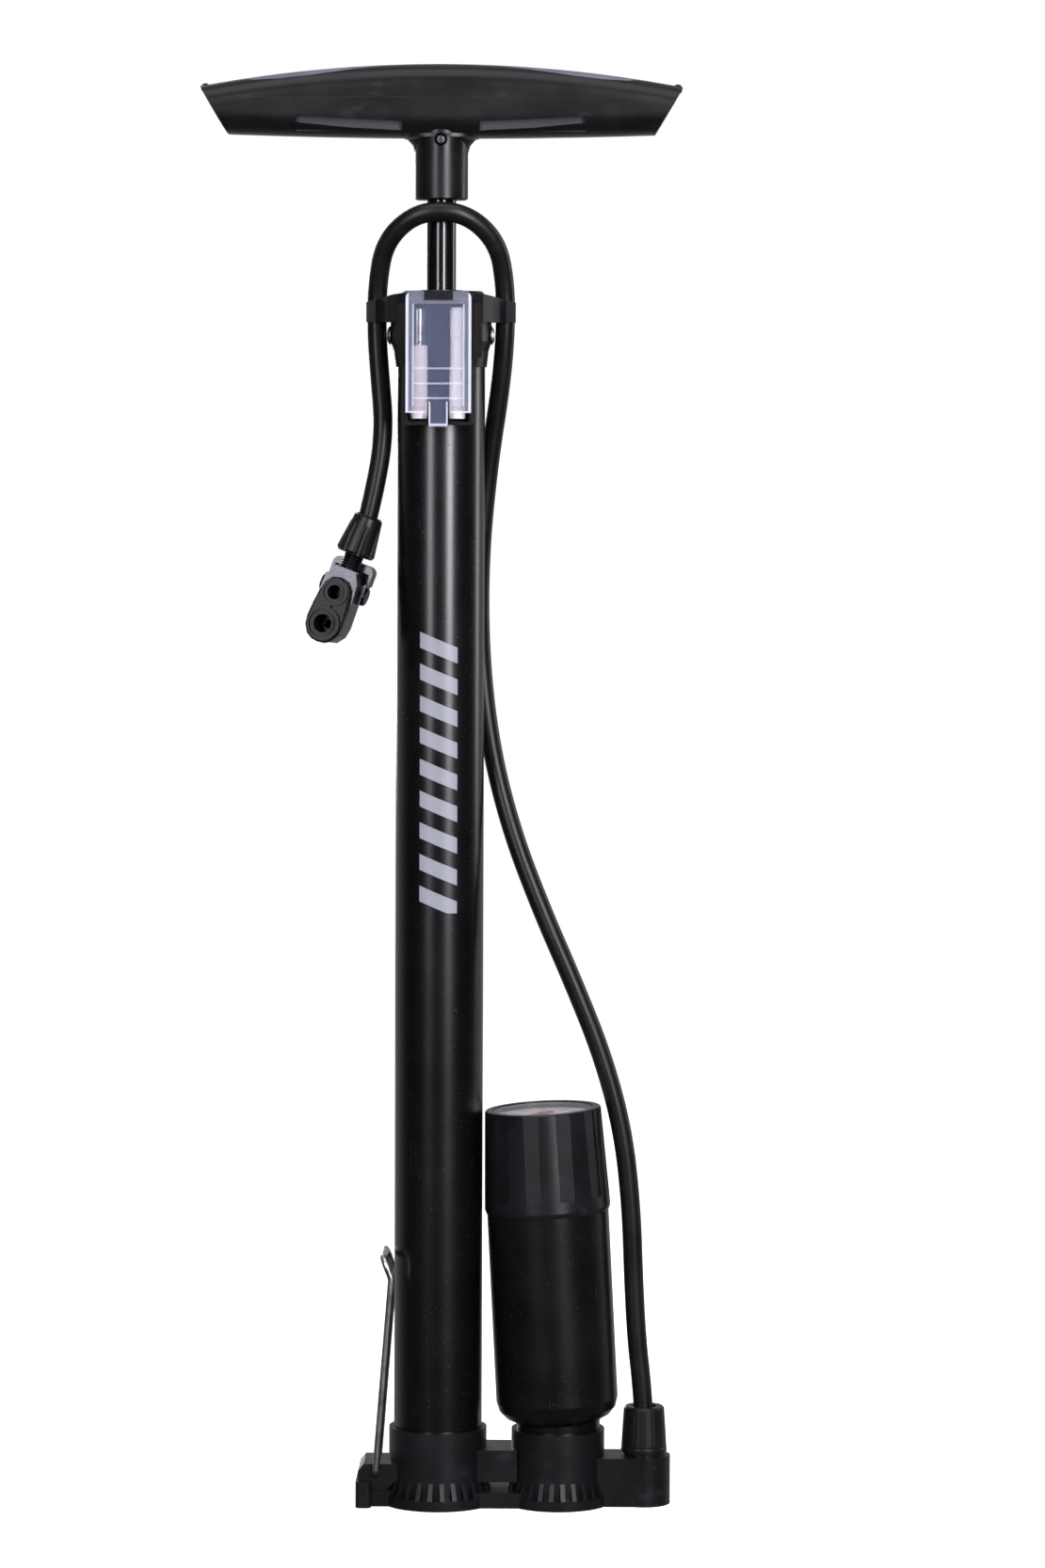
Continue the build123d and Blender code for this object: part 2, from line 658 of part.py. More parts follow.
def head_lever():
    """Silver thumb lever, folded up behind the neck."""
    body = block(-9.35, 9.35, 0.9, 12.0, -37.6, -20.6)
    body -= block(-8.1, 8.1, -1, 9.6, -40, -24.0)
    body -= block(-20, 20, 9.0, 14, -40, -29.0)
    body -= block(-20, 20, -1, 4.9, -29.0, -19)
    body = fillet(body.edges().filter_by(Axis.Y).group_by(Axis.Z)[-1], 3.0)
    body -= lying_x(1.5 + seat_gap, -12, 12, y=lever_y, z=lever_z)
    return head_place * body


def box_tray():
    """Black tray of the adaptor box, with the hinge knuckle on its top."""
    body = block(-tray_half_width, tray_half_width, tray_front, tray_back, tray_bottom, tray_top)
    body = fillet(body.edges().filter_by(Axis.Y), 1.2)
    body -= block(-13.0, 13.0, tray_front - 1, tray_back - 1.4, tray_bottom + 1.4, tray_top - 1.4)
    body += block(-6.2, 6.2, cover_hinge_y - 1.9, cover_hinge_y + 1.9, tray_top - 0.5, cover_hinge_z)
    body += lying_x(1.9, -6.2, 6.2, y=cover_hinge_y, z=cover_hinge_z)
    body -= lying_x(0.85, -7, 7, y=cover_hinge_y, z=cover_hinge_z)
    # spring clips that hold the adaptors
    for x in (-9.2, 8.2):
        for z in (476.0, 506.0):
            body += block(x - 3.0, x + 3.0, -23.2, tray_back - 1.2, z, z + 2.0)
    return body


def box_cover():
    """Clear flip-up cover, hinged at the top, with a finger tab at the bottom."""
    half = 13.9
    body = block(-half, half, cover_front, tray_front - gap, 471.5, 517.6)
    body += block(-half, half, cover_front, cover_hinge_y - 2.4, 517.0, 523.0)
    body = fillet(body.edges().filter_by(Axis.Y).group_by(Axis.Z)[-1], 3.0)
    body -= block(-half + 1.3, half - 1.3, cover_front + 1.2, tray_front + 1, 470, 516.6)
    body += block(-half + 2.6, half - 2.6, cover_front - 0.5, cover_front + 0.5, 474.0, 518.6)
    # hinge ears with their pivot pips
    for side in (1, -1):
        x_low = 6.5 if side == 1 else -12.6
        ear = block(x_low, x_low + 6.1, cover_front + 1, cover_hinge_y, cover_hinge_z - 1.2, cover_hinge_z + 1.8)
        ear += lying_x(1.6, x_low, x_low + 6.1, y=cover_hinge_y, z=cover_hinge_z)
        ear += lying_x(0.79, 3.4 if side == 1 else -7.0, 7.0 if side == 1 else -3.4, y=cover_hinge_y, z=cover_hinge_z)
        body += ear
    for z in (490.3, 483.9, 477.7):
        body += block(-10.6, 10.0, cover_front - 0.95, cover_front, z - 0.45, z + 0.45)
    # finger tab between two notches
    tab = block(-4.0, 4.0, cover_front, cover_front + 1.3, 465.4, 476.0)
    tab = fillet(tab.edges().filter_by(Axis.Y).group_by(Axis.Z)[0], 1.2)
    tab += block(-3.4, 3.4, cover_front - 0.8, cover_front + 0.5, 466.4, 468.0)
    for x in (-5.4, 4.0):
        body -= block(x, x + 1.4, cover_front - 2, tray_front + 1, 470, 476.0)
    return body + tab


def adaptor_sleeve():
    """Pale rubber sleeve that stores the needle."""
    body = turned((3.05, 469.0), (3.5, 469.0), (3.8, 470.5), (3.8, 500), (3.05, 500))
    return Pos(-8.6, -27.1, 0) * body


def needle_adaptor():
    """Ball needle, its threaded root up and its needle down in the sleeve."""
    body = turned(
        (0.5, 470.0), (1.0, 470.0), (1.0, 496.0), (2.9, 498.0), (2.9, 501.0), (3.1, 501.4), (3.1, 515.5),
        (2.6, 516.2), (0.5, 516.2),
    )
    return Pos(-8.6, -27.1, 0) * body


def nozzle_adaptor():
    """White stepped nozzle for inflatables."""
    body = turned(
        (1.2, 469.0), (3.5, 469.0), (3.7, 471.0), (3.6, 486.0), (3.2, 495.0), (3.2, 503.6), (3.4, 504.0), (3.4, 515.0),
        (3.0, 516.2), (1.2, 516.2),
    )
    return Pos(8.0, -27.1, 0) * body


def export_all():
    """Writes one STEP per node."""
    bar = handle_bar()
    nodes = {
        "base_moulding": base_moulding(),
        "barrel_tube": barrel_tube(),
        "barrel_seal": barrel_seal(),
        "top_cap": top_cap(),
        "cap_screws": cap_screws(),
        "rod_bush": rod_bush(),
        "piston_rod": piston_rod(),
        "rod_tail": rod_tail(),
        "piston_nut": piston_nut(),
        "piston_body": piston_body(),
        "piston_cup": piston_cup(),
        "handle_body": handle_body(bar, top_pad_region()),
        "handle_top_pad": handle_top_pad(bar),
        "handle_screw": handle_screw(),
        "foot_wire": foot_wire(),
        "valve_seat": valve_seat(),
        "check_ball": check_ball(),
        "valve_spring": valve_spring(),
        "valve_retainer": valve_retainer(),
        "tank_can": tank_can(),
        "tank_seal": tank_seal(),
        "gauge_bezel": gauge_bezel(),
        "gauge_case": gauge_case(),
        "gauge_inlet": gauge_inlet(),
        "bourdon_tube": bourdon_tube(),
        "gauge_movement": gauge_movement(),
        "gauge_dial": gauge_dial(),
        "dial_screws": dial_screws(),
        "gauge_needle": gauge_needle(),
        "gauge_lens": gauge_lens(),
        "base_barb": base_barb(),
        "base_hose_nut": base_hose_nut(),
        "hose": hose(),
        "head_hose_nut": head_hose_nut(),
        "head_barb": head_barb(),
        "head_body": head_body(),
        "head_face": head_face(),
        "port_seals": port_seals(),
        "head_plunger": head_plunger(),
        "lever_pin": lever_pin(),
        "head_lever": head_lever(),
        "box_tray": box_tray(),
        "box_cover": box_cover(),
        "adaptor_sleeve": adaptor_sleeve(),
        "needle_adaptor": needle_adaptor(),
        "nozzle_adaptor": nozzle_adaptor(),
    }
    for name, shape in nodes.items():
        if isinstance(shape, list):
            shape = Compound(children=shape)
        export_step(shape, f"parts/{name}.step")


export_all()
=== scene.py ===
import math

import bmesh
import bpy
from mathutils import Matrix, Vector


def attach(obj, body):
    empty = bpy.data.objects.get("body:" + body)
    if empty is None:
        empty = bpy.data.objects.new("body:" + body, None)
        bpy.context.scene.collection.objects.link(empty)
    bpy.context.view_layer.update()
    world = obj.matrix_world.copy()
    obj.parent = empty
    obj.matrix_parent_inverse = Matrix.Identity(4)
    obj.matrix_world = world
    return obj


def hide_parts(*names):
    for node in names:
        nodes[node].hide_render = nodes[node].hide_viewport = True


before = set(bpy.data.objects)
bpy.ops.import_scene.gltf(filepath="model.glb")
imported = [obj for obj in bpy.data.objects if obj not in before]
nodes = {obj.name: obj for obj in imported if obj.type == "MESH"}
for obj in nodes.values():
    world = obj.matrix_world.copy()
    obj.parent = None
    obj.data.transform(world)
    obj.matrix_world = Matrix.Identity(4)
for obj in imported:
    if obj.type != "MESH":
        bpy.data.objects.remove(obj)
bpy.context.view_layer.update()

scene = bpy.context.scene
mm = 0.001
print("frame loaded:", len(nodes), "parts")

# Camera

cameraSettings = {
    "place": (0.072, -2.29, 0.48),
    "lookAt": (0.0354, 0.0, 0.3946),
    "lens": 122.2,
    "lift": -0.1228,  # lens shift that keeps the uprights parallel
    "sensor": 36.0,
    "roll": 0.2,  # degrees, the pump stands a touch off plumb
}


def makeCamera(settings):
    data = bpy.data.cameras.new("studioCamera")
    data.sensor_width = settings["sensor"]
    data.lens = settings["lens"]
    data.shift_y = settings["lift"]
    data.clip_end = 50
    camera = bpy.data.objects.new("studioCamera", data)
    scene.collection.objects.link(camera)
    place = Vector(settings["place"])
    aim = (Vector(settings["lookAt"]) - place).to_track_quat("-Z", "Y").to_matrix().to_4x4()
    turn = Matrix.Rotation(math.radians(settings["roll"]), 4, "Z")
    camera.matrix_world = Matrix.Translation(place) @ aim @ turn
    scene.camera = camera


makeCamera(cameraSettings)
print("camera placed")

# Hose

hoseSettings = {
    "radius": 4.2,
    "curveSteps": 10,
    "ringSteps": 7,
    "exit": (89.0, 0.0, 42.2),
    "length": 0.706,
    "route": [
        (89.3, 0.0, 34.0), (88.4, 0.2, 50.0), (86.0, 0.0, 70.0), (84.5, -0.3, 96.0),
        (83.4, -0.6, 128.0), (79.6, -0.8, 162.0), (70.6, -0.4, 194.5), (57.8, 0.5, 226.0),
        (43.6, 3.0, 258.0), (30.6, 7.5, 291.5), (21.2, 13.5, 328.0), (16.6, 17.8, 369.0),
        (16.6, 17.8, 411.0), (20.6, 13.0, 451.0), (25.5, 7.0, 482.0), (27.6, 2.8, 505.0),
        (27.6, 1.6, 526.0), (24.2, -6.0, 545.0), (10.0, -12.5, 557.4), (-10.0, -12.5, 557.4),
        (-24.0, -6.0, 545.0), (-27.6, 1.6, 526.0), (-27.8, 2.8, 505.0), (-26.3, 2.2, 486.0),
        (-24.5, 1.2, 465.5), (-26.9, 0.4, 444.2), (-31.8, 0.0, 424.0),
    ],
}


def makeHose(settings):
    curve = bpy.data.curves.new("hoseLine", "CURVE")
    curve.dimensions = "3D"
    curve.resolution_u = settings["curveSteps"]
    curve.bevel_depth = 1.0
    curve.bevel_resolution = settings["ringSteps"]
    curve.use_fill_caps = True
    spline = curve.splines.new("NURBS")
    spline.points.add(len(settings["route"]) - 1)
    for point, place in zip(spline.points, settings["route"]):
        point.co = (*(value * mm for value in place), 1)
        point.radius = settings["radius"] * mm
    spline.order_u = 3
    spline.use_endpoint_u = True
    hose = bpy.data.objects.new("airHose", curve)
    scene.collection.objects.link(hose)
    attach(hose, "pump_frame")
    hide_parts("hose")
    return hose


airHose = makeHose(hoseSettings)
print("hose laid")

# Shader tools


def shade(red, green, blue):  # screen colour, 0 to 255, to linear light
    parts = [value / 255 for value in (red, green, blue)]
    return (*(p / 12.92 if p <= 0.04045 else ((p + 0.055) / 1.055) ** 2.4 for p in parts), 1.0)


class Signal:  # a node's output, on which arithmetic adds Math nodes
    def __init__(self, recipe, socket):
        self.recipe = recipe
        self.socket = socket

    def __add__(self, other):
        return self.recipe.math("ADD", self, other)

    def __sub__(self, other):
        return self.recipe.math("SUBTRACT", self, other)

    def __rsub__(self, other):
        return self.recipe.math("SUBTRACT", other, self)

    def __mul__(self, other):
        return self.recipe.math("MULTIPLY", self, other)

    __radd__ = __add__
    __rmul__ = __mul__

    def size(self):
        return self.recipe.math("ABSOLUTE", self)

    def wrap(self):
        return self.recipe.math("FRACT", self)

    def over(self, other):  # the larger of the two
        return self.recipe.math("MAXIMUM", self, other)

    def rise(self, low, high, start=0.0, end=1.0):  # smooth step between two values
        settings = {"interpolation_type": "SMOOTHSTEP", "clamp": True}
        sockets = {"Value": self, "From Min": low, "From Max": high, "To Min": start, "To Max": end}
        return self.recipe.node("ShaderNodeMapRange", settings, sockets)

    def fall(self, low, high):
        return self.rise(low, high, 1.0, 0.0)

    def within(self, low, high, soft):  # 1 between two values, with soft edges inside them
        return self.rise(low, low + soft) * self.fall(high - soft, high)

    def line(self, middle, half, soft):  # 1 within half of the middle, with soft edges outside
        return (self - middle).size().fall(half, half + soft)


class Recipe:  # builds one node tree
    def __init__(self, tree):
        self.tree = tree
        tree.nodes.clear()

    def node(self, kind, settings=None, sockets=None, output=0):
        made = self.tree.nodes.new(kind)
        for key, value in (settings or {}).items():
            setattr(made, key, value)
        for key, value in (sockets or {}).items():
            if isinstance(value, Signal):
                self.tree.links.new(value.socket, made.inputs[key])
            else:
                made.inputs[key].default_value = value
        return Signal(self, made.outputs[output]) if made.outputs else made

    def math(self, operation, *values):
        return self.node("ShaderNodeMath", {"operation": operation}, dict(enumerate(values)))

    def place(self):
        return self.node("ShaderNodeTexCoord", output="Object")

    def axes(self):  # x, y and z in millimetres
        sockets = {"Vector": self.place(), "Scale": 1 / mm}
        spread = self.node("ShaderNodeVectorMath", {"operation": "SCALE"}, sockets)
        return [self.node("ShaderNodeSeparateXYZ", sockets={"Vector": spread}, output=axis) for axis in "XYZ"]

    def noise(self, size, detail=2.0, stretch=(1.0, 1.0, 1.0), shift=(0.0, 0.0, 0.0)):  # size in millimetres
        scale = tuple(1000 * part / size for part in stretch)
        sockets = {"Vector": self.place(), "Scale": scale, "Location": shift}
        spread = self.node("ShaderNodeMapping", sockets=sockets)
        return self.node("ShaderNodeTexNoise", sockets={"Vector": spread, "Scale": 1.0, "Detail": detail})

    def mix(self, mask, first, second):
        return self.node("ShaderNodeMix", {"data_type": "RGBA"}, {0: mask, 6: first, 7: second}, output=2)

    def bump(self, height, depth):  # depth in millimetres
        sockets = {"Height": height, "Distance": depth * mm, "Strength": 1.0}
        return self.node("ShaderNodeBump", sockets=sockets)

    def surface(self, **sockets):
        named = {key.replace("_", " "): value for key, value in sockets.items()}
        shader = self.node("ShaderNodeBsdfPrincipled", sockets=named)
        self.node("ShaderNodeOutputMaterial", sockets={"Surface": shader})


def newFinish(name):
    material = bpy.data.materials.new(name)
    material.use_nodes = True
    return material, Recipe(material.node_tree)


def paintPart(piece, material):
    piece.data.materials.clear()
    piece.data.materials.append(material)


# Moulded plastics

plasticLooks = {
    "mouldedBlack": {"dark": shade(10, 9, 11), "light": shade(15, 13, 16), "worn": shade(44, 42, 49),
                     "rough": 0.35, "grain": 0.55, "depth": 0.03, "scuff": 0.16, "gloss": 0.24},
    "handleBlack": {"dark": shade(9, 7, 9), "light": shade(13, 11, 13), "worn": shade(44, 41, 46),
                    "rough": 0.31, "grain": 0.6, "depth": 0.02, "scuff": 0.18, "gloss": 0.27},
    "smoothBlack": {"dark": shade(10, 9, 11), "light": shade(15, 14, 17), "worn": shade(46, 44, 50),
                    "rough": 0.3, "grain": 0.9, "depth": 0.012, "scuff": 0.16, "gloss": 0.28},
    # the head's black is the moulded black made darker: painted shade that offsets the lamp light its tilted
    # face catches
    "headShadedBlack": {"dark": shade(5, 4, 6), "light": shade(8, 7, 9), "worn": shade(34, 32, 36),
                  "rough": 0.3, "grain": 0.8, "depth": 0.006, "scuff": 0.12, "gloss": 0.14},
    "softPad": {"dark": shade(84, 83, 95), "light": shade(98, 97, 110), "worn": shade(128, 127, 140),
                "rough": 0.55, "grain": 0.7, "depth": 0.03, "scuff": 0.35, "gloss": 0.4},
    "bushPlastic": {"dark": shade(34, 33, 36), "light": shade(46, 45, 49), "worn": shade(90, 88, 92),
                    "rough": 0.4, "grain": 0.9, "depth": 0.01, "scuff": 0.3, "gloss": 0.4},
    "whitePlastic": {"dark": shade(226, 222, 226), "light": shade(240, 237, 240),
                     "worn": shade(206, 198, 204),
                     "rough": 0.42, "grain": 1.1, "depth": 0.012, "scuff": 0.3, "gloss": 0.45},
    "paleSleeve": {"dark": shade(208, 196, 202), "light": shade(222, 212, 217), "worn": shade(190, 178, 186),
                   "rough": 0.5, "grain": 0.9, "depth": 0.02, "scuff": 0.3, "gloss": 0.35},
    "hoseRubber": {"dark": shade(9, 9, 10), "light": shade(13, 13, 15), "worn": shade(36, 36, 40),
                   "rough": 0.36, "grain": 0.8, "depth": 0.02, "scuff": 0.18, "gloss": 0.26},
    "sealRubber": {"dark": shade(8, 8, 9), "light": shade(12, 12, 13), "worn": shade(34, 34, 37),
                   "rough": 0.5, "grain": 0.6, "depth": 0.02, "scuff": 0.2, "gloss": 0.15},
    "needleRed": {"dark": shade(96, 16, 16), "light": shade(116, 22, 20), "worn": shade(140, 52, 46),
                  "rough": 0.4, "grain": 1.0, "depth": 0.008, "scuff": 0.2, "gloss": 0.4},
    "dialInk": {"dark": shade(26, 25, 28), "light": shade(40, 38, 42), "worn": shade(80, 78, 82),
                "rough": 0.5, "grain": 0.6, "depth": 0.004, "scuff": 0.2, "gloss": 0.3},
}


plasticTexture = {  # sizes in millimetres
    "cloudSize": 16.0, "toneRange": (0.3, 0.7), "smearSize": 5.0, "smearStretch": (0.35, 1.0, 1.0),
    "smearRange": (0.56, 0.74), "patchSize": 30.0, "patchRange": (0.46, 0.62), "speckSize": 1.3,
    "speckShift": (3.1, 1.7, 0.4), "speckRange": (0.7, 0.76), "speckShare": 0.22, "roughSpread": 0.14,
    "smearRough": 0.08, "smearHeight": 0.5,
}


def makePlastic(name, look, extra=None):
    texture = plasticTexture
    material, recipe = newFinish(name)
    grain = recipe.noise(look["grain"], 3.0)
    cloud = recipe.noise(texture["cloudSize"], 3.0)
    smear = recipe.noise(texture["smearSize"], 5.0, texture["smearStretch"]).rise(*texture["smearRange"])
    smear = smear * recipe.noise(texture["patchSize"], 2.0).rise(*texture["patchRange"])
    speck = recipe.noise(texture["speckSize"], 1.0, shift=texture["speckShift"]).rise(*texture["speckRange"])
    wear = smear * look["scuff"] + speck * texture["speckShare"]
    colour = recipe.mix(cloud.rise(*texture["toneRange"]), look["dark"], look["light"])
    colour = recipe.mix(wear, colour, look["worn"])
    rough = (cloud - 0.5) * texture["roughSpread"] + (look["rough"] + smear * texture["smearRough"])
    height = grain + smear * texture["smearHeight"]
    if extra:
        colour, rough, height = extra(recipe, colour, rough, height)
    recipe.surface(Base_Color=colour, Roughness=rough, Normal=recipe.bump(height, look["depth"]),
                   Specular_IOR_Level=look["gloss"])
    return material


handleDetails = {
    "slotX": (16.6, 61.8), "slotZ": (591.6, 598.6), "slotDepth": (10.0, 10.4), "slotTone": shade(66, 64, 69),
    "slotShare": 0.9, "slotRough": 0.06, "edge": 0.3, "partingZ": 606.2, "partingHalf": 0.22,
    "partingEnd": (92.0, 96.0), "partingShare": 0.35, "partingHeight": 1.6,
}


def handleExtra(recipe, colour, rough, height):  # paler slot floors and a parting line along the bar
    details = handleDetails
    x, y, z = recipe.axes()
    edge = details["edge"]
    inside = x.size().within(*details["slotX"], edge) * z.within(*details["slotZ"], edge)
    floor = inside * y.size().fall(*details["slotDepth"])
    line = (z - details["partingZ"]).size().fall(0.0, details["partingHalf"])
    line = line * x.size().fall(*details["partingEnd"])
    colour = recipe.mix(floor * details["slotShare"], colour, details["slotTone"])
    colour = recipe.mix(line * details["partingShare"], colour, plasticLooks["handleBlack"]["worn"])
    return colour, rough - floor * details["slotRough"], height - line * details["partingHeight"]


plasticExtras = {"handleBlack": handleExtra}
finishes = {name: makePlastic(name, look, plasticExtras.get(name)) for name, look in plasticLooks.items()}
print("plastics mixed:", len(plasticLooks))

# Black paint

paintLooks = {
    "barrelPaint": {"dark": shade(3, 3, 4), "light": shade(6, 5, 7), "rough": 0.25, "gloss": 0.5},
    "rodPaint": {"dark": shade(5, 5, 6), "light": shade(8, 8, 9), "rough": 0.17, "gloss": 0.55},
    "tankPaint": {"dark": shade(4, 4, 5), "light": shade(8, 8, 9), "rough": 0.26, "gloss": 0.44},
}

bandSettings = {  # slanted bars printed down the front of the barrel
    "tone": shade(116, 118, 127), "low": 257.0, "high": 378.0, "halfWidth": 8.2, "pitch": 13.6,
    "barRange": (0.02, 0.52), "slope": 0.42, "soft": 0.35, "frontY": (-12.0, -10.0), "chipSize": 0.9,
    "chipRange": (0.7, 0.76), "chipShare": 0.6, "extraRough": 0.12,
}


def bandExtra(recipe, colour, rough):
    band = bandSettings
    x, y, z = recipe.axes()
    soft = band["soft"]
    edge = soft / band["pitch"]
    first, last = band["barRange"]
    climb = ((z + x * band["slope"]) * (1 / band["pitch"])).wrap()
    bars = climb.rise(first, first + edge) * climb.fall(last, last + edge)
    across = x.size().fall(band["halfWidth"] - soft, band["halfWidth"])
    run = z.within(band["low"], band["high"], soft)
    chips = recipe.noise(band["chipSize"], 2.0).rise(*band["chipRange"])
    mask = bars * across * run * y.fall(*band["frontY"]) * (1 - chips * band["chipShare"])
    return recipe.mix(mask, colour, band["tone"]), rough + mask * band["extraRough"]


paintTexture = {  # sizes in millimetres
    "peelSize": 1.6, "drawnSize": 0.8, "drawnStretch": (1.0, 1.0, 0.02), "drawnHeight": 0.5,
    "cloudSize": 22.0, "toneRange": (0.3, 0.7), "roughSpread": 0.06,
    "dustSize": 1.1, "dustShift": (0.7, 2.3, 5.1),
    "dustRange": (0.72, 0.77), "dustShare": 0.12, "dustRough": 0.12, "dustHeight": 0.8, "scratchSize": 0.7,
    "scratchStretch": (1.0, 1.0, 0.06), "scratchRange": (0.66, 0.74), "patchSize": 26.0,
    "patchRange": (0.54, 0.68), "scratchShare": 0.09, "scratchRough": 0.08, "worn": shade(66, 64, 72),
    "depth": 0.006,
}


def makePaint(name, look, extra=None):
    texture = paintTexture
    material, recipe = newFinish(name)
    peel = recipe.noise(texture["peelSize"], 2.0)
    drawn = recipe.noise(texture["drawnSize"], 2.0, texture["drawnStretch"])
    cloud = recipe.noise(texture["cloudSize"], 3.0)
    dust = recipe.noise(texture["dustSize"], 1.0, shift=texture["dustShift"]).rise(*texture["dustRange"])
    scratch = recipe.noise(texture["scratchSize"], 2.0, texture["scratchStretch"])
    scratch = scratch.rise(*texture["scratchRange"])
    scratch = scratch * recipe.noise(texture["patchSize"], 2.0).rise(*texture["patchRange"])
    colour = recipe.mix(cloud.rise(*texture["toneRange"]), look["dark"], look["light"])
    worn = dust * texture["dustShare"] + scratch * texture["scratchShare"]
    colour = recipe.mix(worn, colour, texture["worn"])
    rough = look["rough"] + dust * texture["dustRough"] + scratch * texture["scratchRough"]
    rough = (cloud - 0.5) * texture["roughSpread"] + rough
    if extra:
        colour, rough = extra(recipe, colour, rough)
    height = peel + drawn * texture["drawnHeight"] + dust * texture["dustHeight"]
    recipe.surface(Base_Color=colour, Roughness=rough, Normal=recipe.bump(height, texture["depth"]),
                   Specular_IOR_Level=look["gloss"])
    return material


for name, look in paintLooks.items():
    finishes[name] = makePaint(name, look, bandExtra if name == "barrelPaint" else None)
print("paints mixed:", len(paintLooks))

# Metals

alike = (1.0, 1.0, 1.0)
metalLooks = {
    "brightWire": {"dark": shade(168, 166, 170), "light": shade(186, 184, 188), "rough": 0.3,
                   "stretch": (1.0, 1.0, 0.05), "depth": 0.002},
    "platedSteel": {"dark": shade(150, 148, 150), "light": shade(192, 190, 192), "rough": 0.32,
                    "stretch": alike},
    "darkSteel": {"dark": shade(54, 52, 56), "light": shade(82, 80, 86), "rough": 0.36, "stretch": alike},
    "brass": {"dark": shade(176, 138, 72), "light": shade(212, 176, 104), "rough": 0.3,
              "stretch": (1.0, 1.0, 0.3)},
    "silverCasting": {"dark": shade(70, 69, 73), "light": shade(84, 83, 88), "rough": 0.34, "stretch": alike,
                      "depth": 0.003},
}
metalTexture = {  # sizes in millimetres
    "lineSize": 0.5, "lineRough": 0.1, "cloudSize": 7.0, "toneRange": (0.3, 0.7), "cloudRough": 0.1,
    "pitSize": 0.9, "pitShift": (1.3, 0.2, 2.2), "pitRange": (0.68, 0.76), "pitTone": shade(92, 88, 84),
    "pitShare": 0.4, "pitRough": 0.12, "pitHeight": 0.6, "depth": 0.006,
}


def makeMetal(name, look):
    texture = metalTexture
    material, recipe = newFinish(name)
    lines = recipe.noise(texture["lineSize"], 3.0, look["stretch"])
    cloud = recipe.noise(texture["cloudSize"], 3.0)
    pits = recipe.noise(texture["pitSize"], 1.0, shift=texture["pitShift"]).rise(*texture["pitRange"])
    colour = recipe.mix(cloud.rise(*texture["toneRange"]), look["dark"], look["light"])
    colour = recipe.mix(pits * texture["pitShare"], colour, texture["pitTone"])
    rough = (cloud - 0.5) * texture["cloudRough"] + (look["rough"] + pits * texture["pitRough"])
    rough = (lines - 0.5) * texture["lineRough"] + rough
    normal = recipe.bump(lines - pits * texture["pitHeight"], look.get("depth", texture["depth"]))
    recipe.surface(Base_Color=colour, Roughness=rough, Normal=normal, Metallic=1.0)
    return material


for name, look in metalLooks.items():
    finishes[name] = makeMetal(name, look)
print("metals mixed:", len(metalLooks))

# Clear plastics

coverSettings = {  # places in millimetres
    "window": shade(104, 112, 138), "frame": shade(128, 132, 150), "ridge": shade(190, 194, 206),
    "hingeTone": shade(24, 23, 27), "windowAlpha": 0.2, "frameAlpha": 0.34, "ridgeAlpha": 0.66, "rough": 0.2,
    "windowX": 10.2, "windowZ": (474.6, 517.2), "windowEdge": 0.7, "edge": 0.4, "lineEdge": 0.3,
    "sideX": (13.3, 0.45), "footZ": (471.6, 0.45), "footDrop": 0.5, "tabX": (3.8, 0.3), "tabZ": 476.0,
    "tabFoot": (466.4, 0.4), "tongueX": (3.2, 3.5), "tongueRise": 1.0, "rimX": (10.7, 0.2), "rimShare": 0.7,
    "bars": (490.3, 483.9, 477.7), "barHalf": 0.35, "barEdge": 0.25, "barY": (-36.3, -36.15),
    "barShare": 0.75, "hingeX": 6.0, "hingeZ": 518.9, "cloudSize": 9.0, "cloudAlpha": 0.1, "cloudRough": 0.08,
    "scratchSize": 0.8, "scratchStretch": (0.3, 1.0, 1.0), "scratchRange": (0.6, 0.75), "scratchAlpha": 0.05,
    "scratchRough": 0.12, "scratchHeight": 0.2, "waveSize": 4.5, "depth": 0.006, "gloss": 0.5,
}


